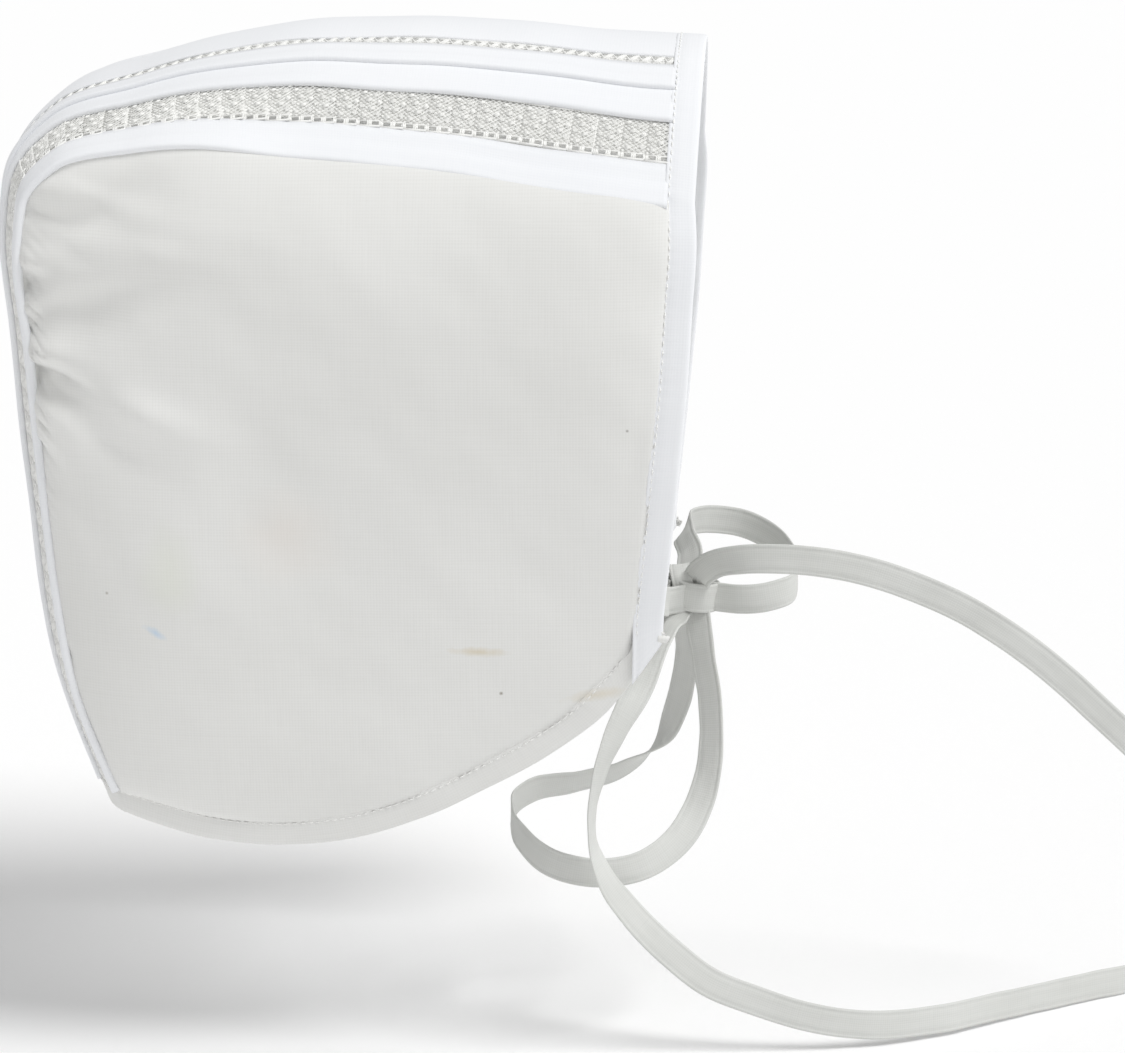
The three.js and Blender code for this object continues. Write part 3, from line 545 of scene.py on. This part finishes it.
def repeatTree(material):
    tree = bpy.data.node_groups.new("repeatedThreads", "GeometryNodeTree")
    face = tree.interface
    face.new_socket("Geometry", in_out="INPUT", socket_type="NodeSocketGeometry")
    face.new_socket("Motif", in_out="INPUT", socket_type="NodeSocketObject")
    face.new_socket("Least size", in_out="INPUT", socket_type="NodeSocketFloat")
    face.new_socket("Greatest size", in_out="INPUT", socket_type="NodeSocketFloat")
    face.new_socket("Seed", in_out="INPUT", socket_type="NodeSocketInt")
    face.new_socket("Geometry", in_out="OUTPUT", socket_type="NodeSocketGeometry")
    new = tree.nodes.new
    groupIn, groupOut = new("NodeGroupInput"), new("NodeGroupOutput")
    info, place = new("GeometryNodeObjectInfo"), new("GeometryNodeInstanceOnPoints")
    turnValue, sizeValue = new("GeometryNodeInputNamedAttribute"), new("FunctionNodeRandomValue")
    realize, setMaterial = new("GeometryNodeRealizeInstances"), new("GeometryNodeSetMaterial")
    turnValue.data_type = "FLOAT_VECTOR"
    turnValue.inputs["Name"].default_value = "turn"
    setMaterial.inputs["Material"].default_value = material
    link = tree.links.new
    link(groupIn.outputs["Geometry"], place.inputs["Points"])
    link(groupIn.outputs["Motif"], info.inputs["Object"])
    link(info.outputs["Geometry"], place.inputs["Instance"])
    link(turnValue.outputs["Attribute"], place.inputs["Rotation"])
    link(groupIn.outputs["Least size"], sizeValue.inputs[2])
    link(groupIn.outputs["Greatest size"], sizeValue.inputs[3])
    link(groupIn.outputs["Seed"], sizeValue.inputs["Seed"])
    link(sizeValue.outputs[1], place.inputs["Scale"])
    link(place.outputs["Instances"], realize.inputs["Geometry"])
    link(realize.outputs["Geometry"], setMaterial.inputs["Geometry"])
    link(setMaterial.outputs["Geometry"], groupOut.inputs["Geometry"])
    return tree


def repeatMotif(name, motif, origins, xAxes, normals, material, spread, seed):
    points, faces = motif
    uv = [(p[0], p[1]) for p in points]
    piece = meshFrom(name + "_motif", points, faces, material, uv)
    mesh = bpy.data.meshes.new(name + "_places")
    mesh.from_pydata((origins * mm).tolist(), [], [])
    turns = []
    for x, n in zip(xAxes, normals):
        x = x - n * np.dot(x, n)
        x = x / np.linalg.norm(x)
        y = np.cross(n, x)
        turns.append(Matrix(np.stack([x, y, n], 1).tolist()).to_euler())
    attribute = mesh.attributes.new("turn", "FLOAT_VECTOR", "POINT")
    attribute.data.foreach_set("vector", np.array(turns, float).ravel())
    holder = bpy.data.objects.new(name + "_places", mesh)
    bpy.context.collection.objects.link(holder)
    modifier = holder.modifiers.new("threads", "NODES")
    modifier.node_group = repeatTree(material)
    values = {"Motif": piece, "Least size": spread[0], "Greatest size": spread[1], "Seed": seed}
    for item in modifier.node_group.interface.items_tree:
        if item.in_out == "INPUT" and item.name in values:
            modifier[item.identifier] = values[item.name]
    bpy.context.view_layer.update()
    depsgraph = bpy.context.evaluated_depsgraph_get()
    made = bpy.data.meshes.new_from_object(holder.evaluated_get(depsgraph))
    made.materials.clear()
    made.materials.append(material)
    obj = bpy.data.objects.new(name, made)
    bpy.context.collection.objects.link(obj)
    for old in (holder, piece):
        bpy.data.objects.remove(old)
    obj.data.shade_smooth()
    return obj


# ---- the crown strip ----

stripFrom = shape["facing"] - 0.6
stripTo = crownTotal - shape["casing"] + 0.6


def stripSheet(name, columns, material, steps=360, seed=1, bumpy=0.1):
    columns = columns if columns[-1][0] > columns[0][0] else columns[::-1]
    along = np.linspace(stripFrom, stripTo, steps + 1)[:, None]
    across = np.array([c[0] for c in columns])[None]
    lift = np.array([c[1] for c in columns])[None]
    wave = ripples(along + 0 * across, across * 48 + 0 * along, seed, 7, 46, bumpy)
    wander = 0.0042 * (np.sin(along / 9 + seed) + 0.6 * np.sin(along / 4.3 + 2 * seed))
    outer, _ = stripFace(along, across + wander, lift + wave)
    uv = np.stack(np.broadcast_arrays(along, across * 48), -1)
    return clothSheet(name, outer, material, uv, flip=False)


def evenly(a, b, count, lift=0.0):
    return [(a + (b - a) * i / count, lift) for i in range(count + 1)]


# A tuck: the cloth stands up towards its fold, rounds over and drops to the layer below.
def tuckColumns(start, fold, under, rise):
    body = [(start + (fold - start) * k, rise * h) for k, h in
            ((0, 0.0), (0.2, 0.02), (0.4, 0.1), (0.55, 0.32), (0.62, 0.55), (0.7, 0.66), (0.8, 0.75), (0.9, 0.88), (0.97, 1.0))]
    lip = [(fold - 0.002, rise * 0.98), (fold + 0.003, rise * 0.86), (fold + 0.0045, rise * 0.6),
           (fold + 0.003, rise * 0.34), (fold - 0.006, rise * 0.16), (fold - 0.012, 0.02), (under, 0.0)]
    return body + lip


centre = stripSheet("centre_band_cloth", evenly(-shape["beadingIn"] - 0.004, shape["beadingIn"] + 0.004, 26), lawn, seed=3)
declare(centre, ["centre_band"])
stripRun = stripTo - stripFrom
lastFold = {"out": 1.035, "rise": 1.3}

beadingMotif = threadBars([
    ((-1.3, -1.5, 0.0), (1.35, -1.5, 0.0), 0.26), ((-1.3, 1.5, 0.0), (1.35, 1.5, 0.0), 0.26),
    ((-1.1, -1.35, 0.1), (0.25, 1.4, 0.2), 0.3), ((0.15, 1.35, 0.1), (1.4, -1.35, 0.05), 0.2),
    ((-0.75, -1.4, 0.12), (0.6, 1.35, 0.12), 0.24), ((-0.35, -1.4, 0.0), (0.95, 1.35, 0.0), 0.22),
    ((-1.3, -0.2, -0.1), (1.35, -0.2, -0.1), 0.2), ((-1.3, 0.6, -0.1), (1.35, 0.6, -0.1), 0.2), ((-1.3, -0.8, -0.05), (1.35, -0.8, -0.05), 0.12),
])


# Lace: a diamond net with denser leaves, a firm edge at the top and a row of header holes below.
def laceMotif():
    bars, width, pitch = [], 10.2, 5.0
    top, header = 5.0, -3.7
    for k in range(-6, 12):
        for lean in (1, -1):
            a, b = np.array((-2.5, top - k * 1.0)), np.array((2.5, top - k * 1.0 - lean * 4.0))
            for low, high in ((header, top),):
                t0, t1 = 0.0, 1.0
                d = b[1] - a[1]
                ends = sorted(((low - a[1]) / d, (high - a[1]) / d))
                t0, t1 = max(0.0, ends[0]), min(1.0, ends[1])
                if t1 - t0 > 0.05:
                    p, q = a + (b - a) * t0, a + (b - a) * t1
                    bars.append(((p[0], p[1], 0.0), (q[0], q[1], 0.03), 0.1))
    leaves = ((-1.5, 3.7, 0.7, 0.62), (0.9, 3.1, -0.5, 0.7), (-0.4, 1.7, 0.2, 0.74), (1.8, 1.0, 0.9, 0.6),
              (-1.7, 0.1, -0.8, 0.66), (0.4, -0.6, 0.5, 0.78), (1.7, -1.9, -0.6, 0.6), (-1.0, -2.4, 0.3, 0.7))
    for cx, cy, lean, size in leaves:
        for k in range(-2, 3):
            reach = size * math.sqrt(1 - (k / 2.8) ** 2)
            dx, dy = math.cos(lean), math.sin(lean)
            ox, oy = -dy * k * 0.17, dx * k * 0.17
            bars.append(((cx + ox - dx * reach, cy + oy - dy * reach, 0.03),
                         (cx + ox + dx * reach, cy + oy + dy * reach, 0.05), 0.09))
    for y, radius in ((top, 0.2), (header, 0.2), (-4.95, 0.28)):
        bars.append(((-2.52, y, 0.05), (2.52, y, 0.05), radius))
    for x in (-2.5, -2.1, -1.8, -0.05, 0.35, 0.65, 2.4):
        bars.append(((x, header, 0.06), (x, -5.0, 0.06), 0.2))
    return threadBars(bars, 4)


# The motif is bowed to follow the strip's own roundness, so it lies on its net across the whole lace.
def bowed(motif, reachAcross, sag):
    points, faces = motif
    return [(q[0], q[1], q[2] + sag * (1 - (q[1] / reachAcross) ** 2)) for q in points], faces


lacePattern = bowed(laceMotif(), 5.0, 0.27)


def motifRow(name, motif, side, across, pitch, material, spread, seed, lift, onward=1):
    count = int((stripTo - stripFrom) / pitch)
    along = stripFrom + (np.arange(count) + 0.5) * (stripTo - stripFrom) / count
    origin, normal = stripFace(along, np.full(count, side * across), lift)
    ahead = stripPoint(along + 0.4, np.full(count, side * across))
    return repeatMotif(name, motif, origin, (ahead - origin) * onward, normal, material, spread, seed)


for side, word in ((-1, "right"), (1, "left")):
    middle = (shape["beadingIn"] + shape["beadingOut"]) / 2
    beading = motifRow(f"crown_beading_{word}_threads", beadingMotif, side, middle, 2.6, laceCotton, (0.98, 1.04), 5, -0.15)
    declare(beading, [f"crown_beading_{word}"])

    first = tuckColumns(shape["beadingOut"] - 0.004, shape["firstFold"], shape["firstFold"] + 0.01, 0.95)
    second = tuckColumns(shape["firstFold"] + 0.02, shape["laceIn"] + 0.004, shape["laceIn"] - 0.03, 0.95)[:-1]
    columns = [(side * a, h) for a, h in first + second]
    tuck = stripSheet(f"tuck_band_{word}_cloth", columns if side > 0 else columns, lawn, seed=5 + side, bumpy=0.07)
    declare(tuck, [f"tuck_band_{word}"])

    # Positive y of the motif points to the middle of the crown on both sides.
    across = (shape["laceIn"] + shape["laceOut"]) / 2
    lace = motifRow(f"side_lace_{word}_threads", lacePattern, side, across, 4.9, laceCotton, (1.0, 1.012), 9, -0.06,
                    onward=1 if side > 0 else -1)
    declare(lace, [f"side_lace_{word}"])
    # the close net the motifs lie on, stopping short of the open header
    net = stripSheet(f"side_lace_{word}_net", [(side * a, -0.42) for a, _ in evenly(0.655, 0.836, 12)], laceCotton,
                     seed=25 + side, bumpy=0.0)
    declare(net, [])

    outerColumns = [(side * a, h) for a, h in tuckColumns(shape["laceOut"] - 0.006, lastFold["out"], 1.0, lastFold["rise"])]
    outerBand = stripSheet(f"outer_band_{word}_cloth", outerColumns, lawn, seed=15 + side, bumpy=0.09)
    declare(outerBand, [f"outer_band_{word}"])
print("crown strip made")


# ---- the side panels ----

rimRows = [asRow(stripPoint(shape["facing"] - 0.6, -1.0))]
rimRows += [asRow(frontInner(k / 9 * 0.95, shape["facing"] - 0.6)) for k in range(1, 10)]
rimRows += [asRow(neckInner(footShare + k / 14 * (1 - footShare), shape["casing"] - 0.5)) for k in range(14)]
rimRows += [asRow(stripPoint(crownTotal - shape["casing"] + 0.5, -1.0))]
rimLine = Track(rimRows, "xyz")

# Gathers: their height on the back seam, width, how far in they reach, how deep, and how they swing.
gathers = [
    {"height": -31, "wide": 5.5, "reach": 0.28, "deep": 1.7, "bend": -0.35},
    {"height": -39, "wide": 2.2, "reach": 0.11, "deep": 1.6, "bend": -0.55},
    {"height": -47, "wide": 4.6, "reach": 0.30, "deep": 2.6, "bend": -0.50},
    {"height": -57, "wide": 2.8, "reach": 0.20, "deep": 3.0, "bend": -0.60},
    {"height": -65, "wide": 2.5, "reach": 0.26, "deep": 3.8, "bend": -0.20},
    {"height": -69.5, "wide": 1.6, "reach": 0.08, "deep": 1.6, "bend": -0.20},
    {"height": -75, "wide": 4.2, "reach": 0.32, "deep": -1.5, "bend": -0.12},
    {"height": -80, "wide": 1.6, "reach": 0.09, "deep": 1.2, "bend": -0.10},
    {"height": -124.5, "wide": 1.7, "reach": 0.07, "deep": 1.1, "bend": 0.0},
    {"height": -128, "wide": 1.4, "reach": 0.05, "deep": 0.9, "bend": 0.0},
]
# Soft hollows, creases and puffs: place in side view, length and width, turn, and depth inward.
hollows = [
    {"at": (-56, -30.5), "size": (13, 4.2), "turn": 26, "deep": 2.3},
    {"at": (-60, -53), "size": (10, 4.6), "turn": 30, "deep": 2.6},
    {"at": (-71.5, -46.6), "size": (4.5, 2.6), "turn": 15, "deep": 1.5},
    {"at": (-67, -65), "size": (6, 1.1), "turn": -18, "deep": 1.8},
    {"at": (-50.5, -71.5), "size": (13, 4.0), "turn": -20, "deep": -1.7},
    {"at": (-58, -78.5), "size": (9, 3.0), "turn": -26, "deep": 1.3},
    {"at": (-28, -77), "size": (9, 13), "turn": 0, "deep": 0.9},
    {"at": (-52, -41.5), "size": (15, 4.0), "turn": 14, "deep": -1.0},
]
backShares = np.linspace(0.42, 1, 400)
backHeights = stripPoint(stripFrom + stripRun * backShares, np.full(400, -1.0))[:, 2]
for g in gathers:
    g["at"] = float(np.interp(-g["height"], -backHeights, backShares))


def panelGrid(steps, columns):
    t = np.linspace(0, 1, steps + 1)[:, None]
    k = np.linspace(0, 1, columns + 1)[None]
    r = k ** 1.25
    seam = stripPoint(stripFrom + (stripTo - stripFrom) * t[:, 0], np.full(steps + 1, -1.0))
    rim = rimLine.at(0.015 + 0.97 * t[:, 0])
    rim = np.stack([rim[:, 0], -rim[:, 1], rim[:, 2]], -1)
    base = seam[:, None] * (1 - r[..., None]) + rim[:, None] * r[..., None]
    bulge = shape["sideBulge"] * np.sin(np.pi * r ** 0.75) ** 0.8 * np.sin(np.pi * t) ** 0.55
    fold = np.zeros(base.shape[:2])
    for g in gathers:
        u = (t - g["at"] - g["bend"] * r) / (g["wide"] / stripRun * (1 + 5.5 * r))
        fade = np.clip(1 - r / g["reach"], 0, 1) ** 1.3 * np.clip(r / 0.012, 0, 1)
        fold += g["deep"] * fade * (np.exp(-u * u) - 0.55 * np.exp(-((np.abs(u) - 1.9) / 0.8) ** 2))
    for h in hollows:
        c, k = math.cos(math.radians(h["turn"])), math.sin(math.radians(h["turn"]))
        dx, dz = base[..., 0] - h["at"][0], base[..., 2] - h["at"][1]
        u, v = (dx * c + dz * k) / h["size"][0], (dz * c - dx * k) / h["size"][1]
        fold += h["deep"] * np.exp(-u * u - v * v) * np.clip(r / 0.03, 0, 1)
    # fine shirring right at the back seam
    close = np.exp(-((t - gathers[4]["at"]) / 0.09) ** 2) * np.exp(-((r - 0.02) / 0.025) ** 2)
    fold += 0.45 * close * np.sin(t * 520 + 1.3 * np.sin(t * 90))
    waves = ripples(base[..., 0], base[..., 2], 21, 9, 85, 0.35)
    waves += ripples(base[..., 0], base[..., 2], 22, 8, 26, 0.07)
    calm = np.clip(r / 0.05, 0, 1) * np.clip((1 - r) / 0.05, 0, 1) * np.clip(t / 0.04, 0, 1) * np.clip((1 - t) / 0.04, 0, 1)
    base[..., 1] += -bulge + fold + waves * calm
    return base, base[..., [0, 2]].copy()


panel, panelCut = panelGrid(430, 84)
right = clothSheet("side_panel_right_cloth", panel, panelLawn, panelCut, flip=True)
declare(right, ["side_panel_right"])
mirrored = panel * np.array([1, -1, 1])
left = clothSheet("side_panel_left_cloth", mirrored, panelLawn, panelCut, flip=False)
declare(left, ["side_panel_left"])
# the panel's cut is its outline in side view; below, the back seam's line in side view is taken
outlineShares = np.linspace(0, 1, 200)
seamLine = stripPoint(stripFrom + stripRun * outlineShares, np.full(200, -1.0))[:, [0, 2]]
print("side panels made")


# ---- facing and casing ----

# Across a binding: up its inside layer to the fold at the edge, then down its outside layer.
bindingProfile = [(0.98, -1.1), (0.8, -1.15), (0.5, -1.15), (0.2, -1.12), (0.06, -1.05), (-0.01, -0.8), (-0.04, -0.4),
                  (-0.03, -0.1), (0.0, 0.22), (0.06, 0.36), (0.2, 0.4), (0.5, 0.38), (0.78, 0.38),
                  (0.86, 0.22), (0.92, 0.34), (0.985, 0.32), (1.01, 0.2)]


def bindingSheet(name, edge, inner, normal, material, seed):
    place = np.array([p[0] for p in bindingProfile])[None, :, None]
    height = np.array([p[1] for p in bindingProfile])[None, :, None]
    steps = np.linalg.norm(np.diff(edge, axis=0), axis=1)
    along = np.concatenate([[0], np.cumsum(steps)])
    wave = ripples(along, along * 0, seed, 7, 34, 0.1)[:, None, None]
    pucker = 0.05 * np.sin(along * 2.4)[:, None, None] * (place > 0.7)
    outer = edge[:, None] * (1 - place) + inner[:, None] * place + normal[:, None] * (height + wave + pucker + 0.1)
    uv = np.stack(np.broadcast_arrays(along[:, None], place[..., 0] * 6), -1)
    test = np.cross(outer[1, -6] - outer[0, -6], outer[0, -5] - outer[0, -6])
    return clothSheet(name, outer, material, uv, thickness=0.3, flip=bool(np.dot(test, normal[0]) < 0))


def bothSides(edge, inner, normal, middle):
    turned = [a[::-1] * np.array([1, -1, 1]) for a in (edge, inner, normal)]
    return [np.concatenate([a, m, b]) for a, m, b in zip((edge, inner, normal), middle, turned)]


share = np.linspace(1, 0.0, 120, endpoint=False)
edge, inner = frontInner(share, 0.0), frontInner(share, shape["facing"])
inner[:, 2] += (foot[2] - inner[:, 2]) * np.clip((share - 0.95) / 0.05, 0, 1)
run = frontLine.at(np.clip(share - 0.03, 0, 1)) - frontLine.at(np.clip(share + 0.03, 0, 1))
normal = unitRows(np.stack([run[:, 0] * 0, -run[:, 2], -run[:, 1]], -1))
across = np.linspace(-1, 1, 161)
crossEdge, crossNormal = stripFace(np.zeros(161), across)
facingLines = bothSides(edge, inner, normal, (crossEdge, stripPoint(np.full(161, shape["facing"]), across), crossNormal))
facing = bindingSheet("front_facing_cloth", *facingLines, lawn, 31)

# the casing starts a little under the facing, so the corner is closed
share = np.linspace(footShare - 0.03, 1.0, 176, endpoint=False)
edge, inner = neckInner(share, 0.0), neckInner(share, shape["casing"])
run = neckInner(np.minimum(share + 0.02, 1), 0.0) - neckInner(np.maximum(share - 0.02, 0), 0.0)
normal = unitRows(np.cross(run, inner - edge))
normal = normal * np.where(normal[:, 1:2] > 0, -1, 1)
crossEdge, crossNormal = stripFace(np.full(121, crownTotal), np.linspace(-1, 1, 121))
crossInner = stripPoint(np.full(121, crownTotal - shape["casing"]), np.linspace(-1, 1, 121))
casingLines = bothSides(edge, inner, normal, (crossEdge, crossInner, crossNormal))
casing = bindingSheet("neck_casing_cloth", *casingLines, panelLawn, 37)

# The casing's end stands out as a small folded ear at each lower front corner.
ear = {"at": (55.2, -45.9, -118.6), "out": 2.3, "tall": 3.6, "thick": 0.8}


def earPart(name, side):
    u, v = np.meshgrid(np.linspace(0, 1, 15), np.linspace(-1, 1, 17), indexing="ij")
    taper = (1 - u ** 1.6) * (1 - 0.25 * v * v)
    x = ear["at"][0] + ear["out"] * u * (1 - 0.35 * np.abs(v))
    z = ear["at"][2] - 0.9 * u + v * ear["tall"] / 2 * (1 - 0.72 * u)
    y = ear["at"][1] - ear["thick"] * taper * 0.5 + 0.15 * np.sin(5 * v)
    grid = np.stack([x, y, z], -1) * np.array([1, side, 1])
    return clothSheet(name, grid, panelLawn, np.stack([x, z], -1), 0.5, flip=side > 0)


# Machine stitches along the inner edges of the facing and the casing.
stitchMotif = threadBars([((-0.52, 0, -0.04), (-0.3, 0, 0.1), 0.13), ((-0.3, 0, 0.1), (0.3, 0, 0.1), 0.14), ((0.3, 0, 0.1), (0.52, 0, -0.04), 0.13)])


def stitchRow(name, edge, inner, normal, place, pitch, height, material, seed):
    line = edge * (1 - place) + inner * place + normal * height
    along = np.concatenate([[0], np.cumsum(np.linalg.norm(np.diff(line, axis=0), axis=1))])
    # the row stops short of the corners, where the binding is turned in
    at = np.arange(10.0, along[-1] - 10.0, pitch)
    origin = np.stack([np.interp(at, along, line[:, i]) for i in range(3)], -1)
    ahead = np.stack([np.interp(at + 0.4, along, line[:, i]) for i in range(3)], -1)
    facingWay = unitRows(np.stack([np.interp(at, along, normal[:, i]) for i in range(3)], -1))
    return repeatMotif(name, stitchMotif, origin, ahead - origin, facingWay, material, (0.9, 1.08), seed)


facingStitches = stitchRow("front_facing_stitches", *facingLines, 0.865, 1.9, 0.42, laceCotton, 41)
casingStitches = stitchRow("neck_casing_stitches", *casingLines, 0.865, 1.7, 0.42, laceCotton, 43)
casing = joinPieces("neck_casing_cloth", [casing, earPart("ear_right", 1), earPart("ear_left", -1)])
# each binding is one strip folded over its edge, cut twice its finished width and a little for the fold; the loop
# declares each binding and its stitches
for cloth, lines, stitches, node, width in ((facing, facingLines, facingStitches, "front_facing", shape["facing"]),
                                            (casing, casingLines, casingStitches, "neck_casing", shape["casing"])):
    declare(cloth, [node])
    declare(stitches, [])
print("facing and casing made")


# ---- floor and light ----

floorHeight = -214.6
floorMaterial, floorTree, floorShader = newMaterial("matteWhitePaperSweep")
floorGrain = addNode(floorTree, "ShaderNodeTexNoise", Scale=900.0, Detail=2.0)
floorTree.links.new(addNode(floorTree, "ShaderNodeTexCoord").outputs["Object"], floorGrain.inputs["Vector"])
floorTree.links.new(mixColour(floorTree, floorGrain.outputs[0], linearColour("#FBFBFB"), linearColour("#FDFDFD")),
                    floorShader.inputs["Base Color"])
floorShader.inputs["Roughness"].default_value = 1.0
floorShader.inputs["Specular IOR Level"].default_value = 0.0
reach = 9000
floor = meshFrom("floor", [(-reach, -reach, floorHeight), (reach, -reach, floorHeight), (reach, reach, floorHeight),
                           (-reach, reach, floorHeight)], [(0, 1, 2, 3)], floorMaterial, smooth=False)

light = {"sky": 0.5, "sun": 1.9, "soft": 28.0, "from": (0.55, -0.24, 1.0)}
world = bpy.data.worlds.new("studio")
world.use_nodes = True
world.node_tree.nodes["Background"].inputs["Color"].default_value = linearColour("#FFFFFF")
world.node_tree.nodes["Background"].inputs["Strength"].default_value = light["sky"]
bpy.context.scene.world = world
sunData = bpy.data.lights.new("softLight", "SUN")
sunData.energy, sunData.angle = light["sun"], math.radians(light["soft"])
sun = bpy.data.objects.new("softLight", sunData)
sun.rotation_mode = "QUATERNION"
sun.rotation_quaternion = Vector(light["from"]).to_track_quat("Z", "Y")
bpy.context.collection.objects.link(sun)
bpy.context.scene.view_settings.view_transform = "Standard"

print("all made")
